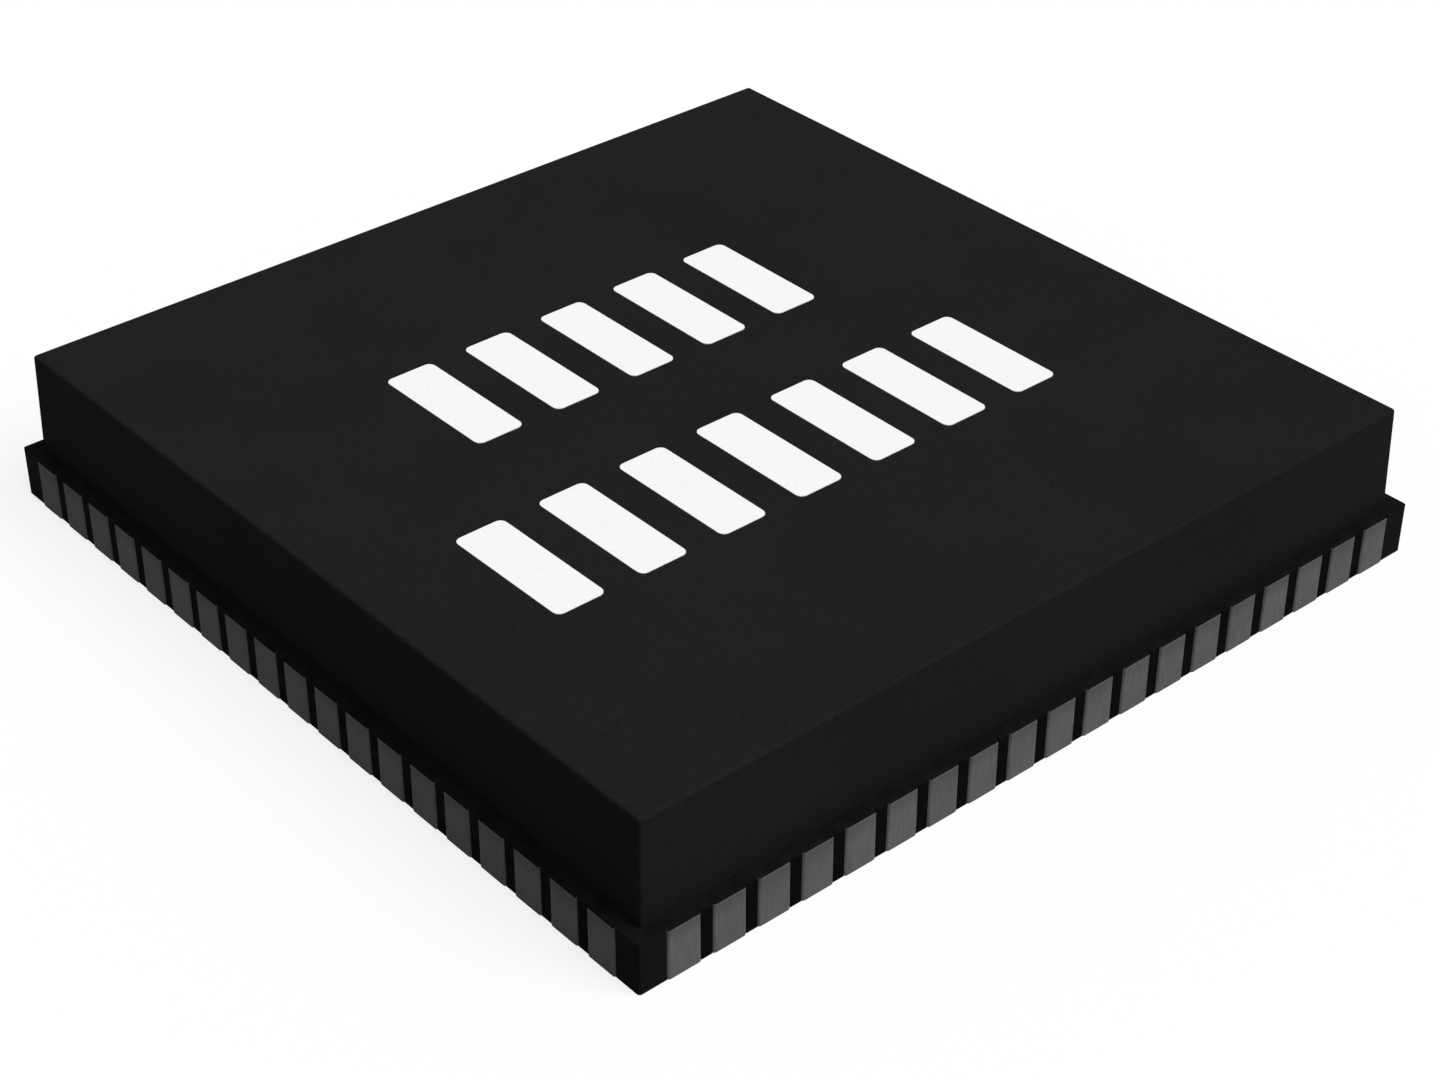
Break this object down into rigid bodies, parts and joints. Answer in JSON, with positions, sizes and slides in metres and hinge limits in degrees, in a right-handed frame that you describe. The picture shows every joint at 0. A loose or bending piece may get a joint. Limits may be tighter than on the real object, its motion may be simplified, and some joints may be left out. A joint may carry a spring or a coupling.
{
  "type": "usb interface chip",
  "caption": "Flat square moulded chip package with short metal leads along every lower edge and a solder pad underneath, holding the die of a serial bus interface.",
  "frame": {"origin": "centre of the solder face, which lies on z = 0", "axes": "+Z from the solder face to the marked top; +X to the right side and -Y to the front side; lead one is at the corner of -X and +Y"},
  "size_m": [0.008, 0.008, 0.0013],
  "materials": {
    "mould_compound": "black filled epoxy, finely matt",
    "lead_tin": "dull grey tin plate on copper",
    "pad_tin": "satin tin plate on copper",
    "die_glue": "silver-filled glue",
    "silicon": "polished silicon",
    "bond_gold": "drawn gold wire",
    "marking_ink": "white marking ink"
  },
  "bodies": {
    "root": {"mould_body": "mould_compound", "front_leads": "lead_tin", "right_leads": "lead_tin", "back_leads": "lead_tin", "left_leads": "lead_tin", "die_pad": "pad_tin", "die_attach": "die_glue", "silicon_die": "silicon", "front_bond_wires": "bond_gold", "right_bond_wires": "bond_gold", "back_bond_wires": "bond_gold", "left_bond_wires": "bond_gold"}
  },
  "joints": []
}
